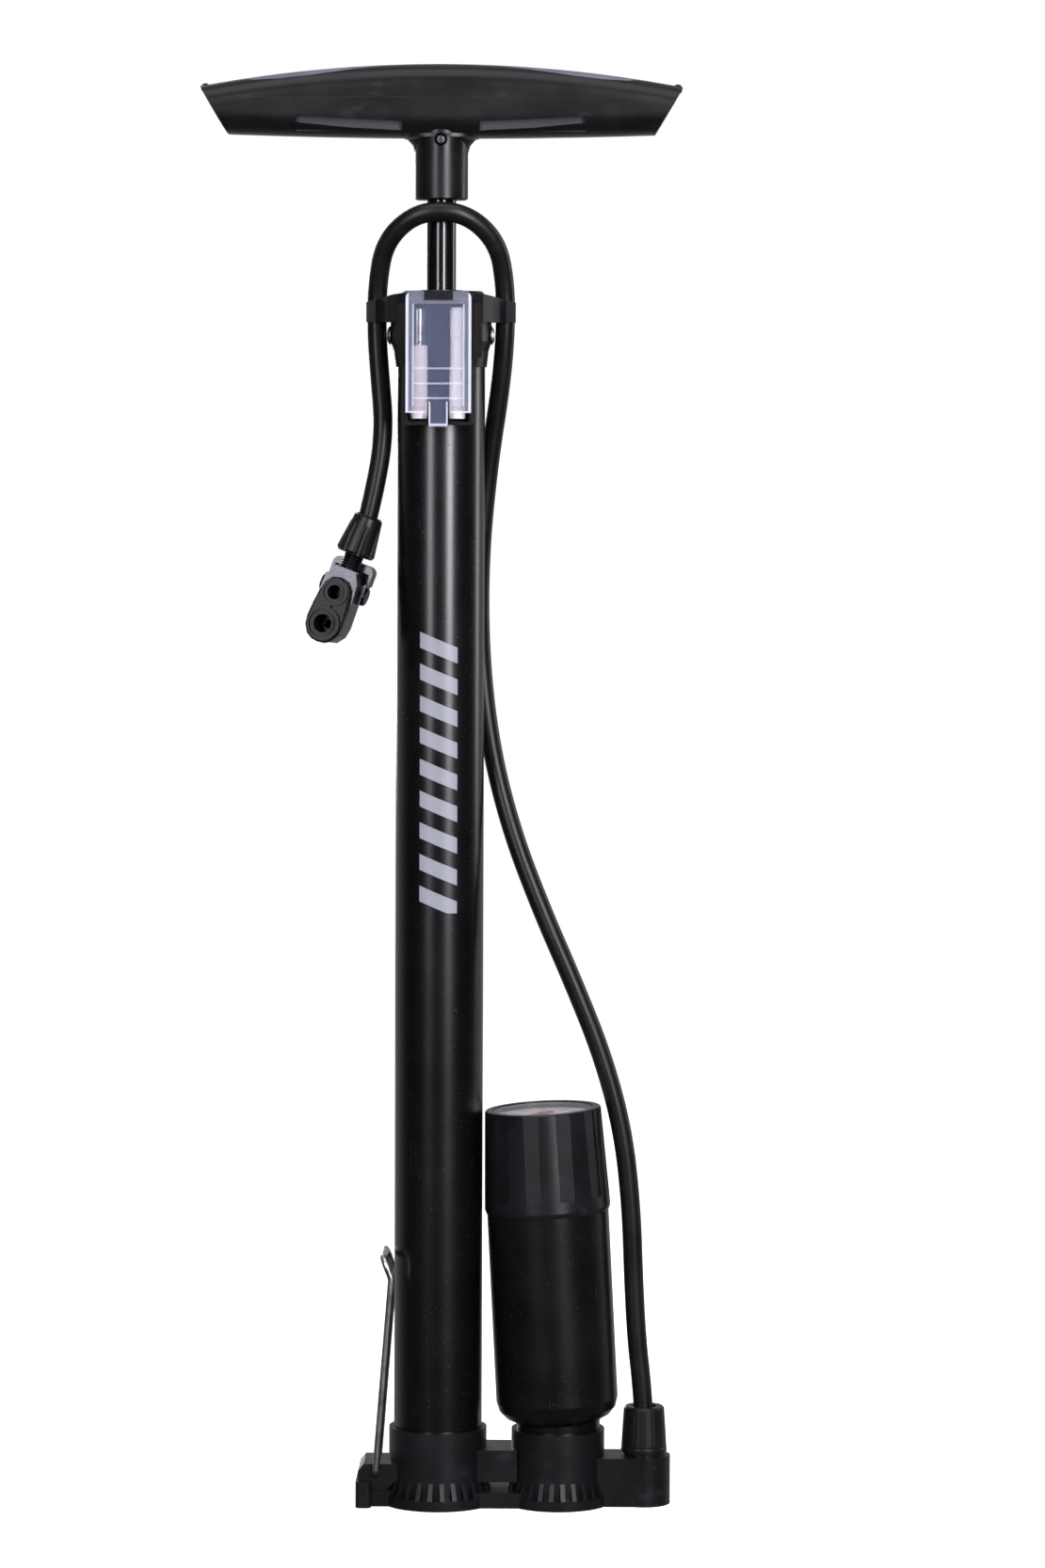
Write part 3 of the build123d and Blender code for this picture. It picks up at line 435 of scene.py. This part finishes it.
def makeCover(settings):
    material, recipe = newFinish("frostedCover")
    x, y, z = recipe.axes()
    across = x.size()
    edge, lineEdge = settings["edge"], settings["lineEdge"]
    lowZ, highZ = settings["windowZ"]
    tabX, footZ = settings["tabX"][0], settings["footZ"][0]
    cloud = recipe.noise(settings["cloudSize"], 3.0)
    scratch = recipe.noise(settings["scratchSize"], 3.0, settings["scratchStretch"])
    scratch = scratch.rise(*settings["scratchRange"])
    tall = z.rise(lowZ - settings["windowEdge"], lowZ) * z.fall(highZ, highZ + settings["windowEdge"])
    window = across.fall(settings["windowX"], settings["windowX"] + settings["windowEdge"]) * tall
    tongue = across.fall(*settings["tongueX"]) * z.fall(lowZ, lowZ + settings["tongueRise"])
    clear = window.over(tongue)
    bars = sum(z.line(height, settings["barHalf"], settings["barEdge"]) for height in settings["bars"])
    bars = bars * y.fall(*settings["barY"]) * window
    sides = across.line(*settings["sideX"], lineEdge) * z.rise(footZ - settings["footDrop"], footZ)
    foot = z.line(*settings["footZ"], lineEdge) * across.rise(tabX, tabX + edge)
    tab = across.line(*settings["tabX"], lineEdge) * z.fall(settings["tabZ"], settings["tabZ"] + edge)
    tab = tab.over(z.line(*settings["tabFoot"], lineEdge))
    rim = across.line(*settings["rimX"], lineEdge) * tall
    ridge = sides.over(foot).over(tab.over(rim * settings["rimShare"])).over(bars * settings["barShare"])
    hinge = across.fall(settings["hingeX"], settings["hingeX"] + edge)
    hinge = hinge * z.rise(settings["hingeZ"], settings["hingeZ"] + edge)
    colour = recipe.mix(clear, settings["frame"], settings["window"])
    colour = recipe.mix(ridge, colour, settings["ridge"])
    colour = recipe.mix(hinge, colour, settings["hingeTone"])
    alpha = clear * (settings["windowAlpha"] - settings["frameAlpha"]) + settings["frameAlpha"]
    alpha = alpha + ridge * (settings["ridgeAlpha"] - settings["frameAlpha"])
    alpha = alpha + scratch * settings["scratchAlpha"]
    alpha = ((cloud - 0.5) * settings["cloudAlpha"] + alpha).over(hinge)
    rough = (cloud - 0.5) * settings["cloudRough"] + settings["rough"] + scratch * settings["scratchRough"]
    height = recipe.noise(settings["waveSize"], 1.0) + scratch * settings["scratchHeight"]
    recipe.surface(Base_Color=colour, Roughness=rough, Alpha=alpha,
                   Normal=recipe.bump(height, settings["depth"]), Specular_IOR_Level=settings["gloss"])
    return material


lensSettings = {
    "tone": shade(228, 232, 236), "alpha": 0.1, "rough": 0.06, "cloudSize": 8.0, "cloudAlpha": 0.04,
    "scratchSize": 0.6, "scratchStretch": (0.2, 1.0, 1.0), "scratchRange": (0.62, 0.72), "scratchAlpha": 0.08,
    "scratchRough": 0.2, "depth": 0.01, "gloss": 0.5,
}


def makeLens(settings):
    material, recipe = newFinish("clearLens")
    cloud = recipe.noise(settings["cloudSize"], 3.0)
    scratch = recipe.noise(settings["scratchSize"], 3.0, settings["scratchStretch"])
    scratch = scratch.rise(*settings["scratchRange"])
    alpha = scratch * settings["scratchAlpha"] + (settings["alpha"] + cloud * settings["cloudAlpha"])
    rough = scratch * settings["scratchRough"] + settings["rough"]
    recipe.surface(Base_Color=settings["tone"], Roughness=rough, Alpha=alpha,
                   Normal=recipe.bump(cloud, settings["depth"]), Specular_IOR_Level=settings["gloss"])
    return material


finishes["frostedCover"] = makeCover(coverSettings)
finishes["clearLens"] = makeLens(lensSettings)
print("clear plastics mixed")

# Gauge dial

dialSettings = {
    "height": 135.7, "paper": shade(178, 168, 170), "paperDark": shade(164, 153, 156),
    "edge": shade(134, 124, 127), "cloudSize": 6.0, "toneRange": (0.3, 0.7), "fibreSize": 0.5,
    "fibreRange": (0.62, 0.8), "fibreShare": 0.3, "rough": 0.5, "roughSpread": 0.1,
    "depth": 0.006, "gloss": 0.35,
    "zeroAngle": 225.0, "sweep": 270.0, "steps": 32, "longEvery": 4, "outer": 20.2,
    "longTick": (3.2, 0.5), "midTick": (2.2, 0.3), "shortTick": (1.4, 0.2),  # length and width
    "figureRadius": 14.2, "figureSize": 2.7, "topFigure": 160, "lift": 0.02, "thick": 0.03,
}
tankSettings = {"foot": (0.0522, 0.0, 0.033), "lean": -3.0}
# takes millimetres along the tank's own leaning axis to metres in the frame
tankPlaceMm = (Matrix.Translation(tankSettings["foot"])
               @ Matrix.Rotation(math.radians(tankSettings["lean"]), 4, "Y") @ Matrix.Scale(mm, 4))


def makeDialPaper(settings):
    material, recipe = newFinish("dialPaper")
    cloud = recipe.noise(settings["cloudSize"], 4.0)
    fibre = recipe.noise(settings["fibreSize"], 2.0)
    colour = recipe.mix(cloud.rise(*settings["toneRange"]), settings["paperDark"], settings["paper"])
    share = fibre.rise(*settings["fibreRange"]) * settings["fibreShare"]
    colour = recipe.mix(share, colour, settings["edge"])
    rough = (cloud - 0.5) * settings["roughSpread"] + settings["rough"]
    recipe.surface(Base_Color=colour, Roughness=rough, Normal=recipe.bump(fibre, settings["depth"]),
                   Specular_IOR_Level=settings["gloss"])
    return material


def addBlock(mesh, size, place):
    bmesh.ops.create_cube(mesh, size=1.0, matrix=place @ Matrix.Diagonal((*size, 1.0)))


def addFigure(mesh, text, size, place):
    curve = bpy.data.curves.new("figure", "FONT")
    curve.body = text
    curve.size = size
    curve.align_x = "CENTER"
    curve.align_y = "CENTER"
    curve.extrude = dialSettings["thick"] / 2
    curve.resolution_u = 3
    holder = bpy.data.objects.new("figure", curve)
    scene.collection.objects.link(holder)
    bpy.context.view_layer.update()
    flat = bpy.data.meshes.new_from_object(holder.evaluated_get(bpy.context.evaluated_depsgraph_get()))
    flat.transform(place)
    mesh.from_mesh(flat)
    bpy.data.objects.remove(holder)
    bpy.data.curves.remove(curve)
    bpy.data.meshes.remove(flat)


def finishPiece(mesh, name, body, finish, place):
    bmesh.ops.remove_doubles(mesh, verts=mesh.verts, dist=1e-5)
    bmesh.ops.recalc_face_normals(mesh, faces=mesh.faces)
    data = bpy.data.meshes.new(name)
    mesh.to_mesh(data)
    mesh.free()
    data.transform(place)
    piece = bpy.data.objects.new(name, data)
    scene.collection.objects.link(piece)
    data.materials.append(finishes[finish])
    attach(piece, body)


def makeDial(settings):
    mesh = bmesh.new()
    level = settings["height"] + settings["lift"] + settings["thick"] / 2
    for step in range(settings["steps"] + 1):
        turn = settings["zeroAngle"] - settings["sweep"] * step / settings["steps"]
        spin = Matrix.Rotation(math.radians(turn), 4, "Z")
        if step % settings["longEvery"] == 0:
            length, width = settings["longTick"]
        elif step % 2 == 0:
            length, width = settings["midTick"]
        else:
            length, width = settings["shortTick"]
        middle = settings["outer"] - length / 2
        addBlock(mesh, (length, width, settings["thick"]), spin @ Matrix.Translation((middle, 0, level)))
        if step % settings["longEvery"] == 0:
            text = str(round(settings["topFigure"] * step / settings["steps"]))
            x = settings["figureRadius"] * math.cos(math.radians(turn))
            y = settings["figureRadius"] * math.sin(math.radians(turn))
            addFigure(mesh, text, settings["figureSize"], Matrix.Translation((x, y, level)))
    finishPiece(mesh, "dialFigures", "pump_frame", "dialInk", tankPlaceMm)


finishes["dialPaper"] = makeDialPaper(dialSettings)
makeDial(dialSettings)
print("dial printed")

# Finishes on the fixed parts

partFinishes = {
    "handleBlack": ["handle_body"],
    "mouldedBlack": ["base_moulding", "top_cap", "base_hose_nut", "head_hose_nut"],
    "smoothBlack": ["piston_body", "gauge_bezel", "gauge_case", "box_tray"],
    # head parts take the darker copy of the black plastic, with painted shade for the lamp light on the
    # tilted face
    "headShadedBlack": ["head_barb", "head_face", "head_plunger", "lever_pin"],
    "softPad": ["handle_top_pad"],
    "bushPlastic": ["rod_bush"],
    "barrelPaint": ["barrel_tube"],
    "rodPaint": ["piston_rod"],
    "tankPaint": ["tank_can"],
    "hoseRubber": ["hose"],
    "sealRubber": ["barrel_seal", "piston_cup", "tank_seal", "port_seals"],
    "platedSteel": ["cap_screws", "rod_tail", "piston_nut", "check_ball", "dial_screws",
                    "needle_adaptor"],
    "darkSteel": ["handle_screw"],
    "brightWire": ["foot_wire", "valve_spring"],
    "brass": ["valve_seat", "valve_retainer", "gauge_inlet", "bourdon_tube", "gauge_movement", "base_barb"],
    "silverCasting": ["head_body", "head_lever"],
    "dialPaper": ["gauge_dial"],
    "needleRed": ["gauge_needle"],
    "clearLens": ["gauge_lens"],
    "frostedCover": ["box_cover"],
    "paleSleeve": ["adaptor_sleeve"],
    "whitePlastic": ["nozzle_adaptor"],
}
for finish, names in partFinishes.items():
    for name in names:
        paintPart(nodes[name], finishes[finish])
paintPart(airHose, finishes["hoseRubber"])
print("finishes on:", sum(len(names) for names in partFinishes.values()))

# Studio

floorSettings = {
    "size": 14.0, "tone": shade(246, 246, 248), "toneLight": shade(252, 252, 253), "cloudSize": 400.0,
    "rough": 0.7, "glow": 0.56,
    "fadeFrom": 0.35, "fadeTo": 2.2,  # metres from the pump, past which the floor melts into the backdrop
}
worldSettings = {  # front and back are what the pump reflects, seen is the backdrop
    "front": 0.028, "back": 0.36, "turn": (-0.1, 0.7), "above": 0.24, "climb": (0.35, 0.9), "seen": 1.0,
}
lampTint = (0.97, 0.94, 1.0)
lightSettings = {  # places and sizes in metres, power in watts
    "leftStrip": {"place": (-0.86, -1.84, 0.98), "aim": (0.0, 0.0, 0.42), "size": (0.42, 1.5), "power": 26.0},
    "rightStrip": {"place": (0.9, -1.84, 0.98), "aim": (0.0, 0.0, 0.42), "size": (0.5, 1.5), "power": 58.0},
    "backStrip": {"place": (-0.7, 1.95, 0.9), "aim": (0.0, 0.0, 0.4), "size": (0.4, 1.5), "power": 16.0},
    "sideStrip": {"place": (1.9, 0.9, 0.9), "aim": (0.0, 0.0, 0.4), "size": (0.35, 1.5), "power": 10.0},
    "topPanel": {"place": (0.0, -0.5, 2.1), "aim": (0.0, 0.0, 0.4), "size": (1.6, 1.2), "power": 14.0},
}


def makeFloor(settings):
    mesh = bmesh.new()
    bmesh.ops.create_grid(mesh, x_segments=1, y_segments=1, size=settings["size"] / 2)
    data = bpy.data.meshes.new("studioFloor")
    mesh.to_mesh(data)
    mesh.free()
    material, recipe = newFinish("paleFloor")
    cloud = recipe.noise(settings["cloudSize"], 2.0)
    colour = recipe.mix(cloud, settings["tone"], settings["toneLight"])
    sockets = {0: recipe.place(), 1: (1.0, 1.0, 0.0)}
    flat = recipe.node("ShaderNodeVectorMath", {"operation": "MULTIPLY"}, sockets)
    reach = recipe.node("ShaderNodeVectorMath", {"operation": "LENGTH"}, {0: flat}, output="Value")
    fade = reach.fall(settings["fadeFrom"], settings["fadeTo"])
    recipe.surface(Base_Color=colour, Roughness=settings["rough"], Emission_Color=(1.0, 1.0, 1.0, 1.0),
                   Emission_Strength=settings["glow"], Alpha=fade)
    data.materials.append(material)
    floor = bpy.data.objects.new("studioFloor", data)
    scene.collection.objects.link(floor)
    floor.visible_glossy = False


def makeWorld(settings):
    world = bpy.data.worlds.new("studioRoom")
    scene.world = world
    world.use_nodes = True
    recipe = Recipe(world.node_tree)
    way = recipe.node("ShaderNodeTexCoord", output="Generated")
    x, y, z = [recipe.node("ShaderNodeSeparateXYZ", sockets={"Vector": way}, output=axis) for axis in "XYZ"]
    level = y.rise(*settings["turn"], settings["front"], settings["back"])
    level = level + z.rise(*settings["climb"]) * settings["above"]
    seen = recipe.node("ShaderNodeLightPath", output="Is Camera Ray")
    level = level * (1 - seen) + seen * settings["seen"]
    back = recipe.node("ShaderNodeBackground", sockets={"Color": (1.0, 1.0, 1.0, 1.0), "Strength": level})
    recipe.node("ShaderNodeOutputWorld", sockets={"Surface": back})


def makeLight(name, settings):
    data = bpy.data.lights.new(name, "AREA")
    data.shape = "RECTANGLE"
    data.size, data.size_y = settings["size"]
    data.energy = settings["power"]
    data.color = lampTint
    light = bpy.data.objects.new(name, data)
    scene.collection.objects.link(light)
    place = Vector(settings["place"])
    aim = (Vector(settings["aim"]) - place).to_track_quat("-Z", "Y")
    light.matrix_world = Matrix.Translation(place) @ aim.to_matrix().to_4x4()
    light.visible_camera = False


makeFloor(floorSettings)
makeWorld(worldSettings)
for name, settings in lightSettings.items():
    makeLight(name, settings)
scene.view_settings.view_transform = "Standard"
scene.view_settings.look = "None"
print("studio lit")
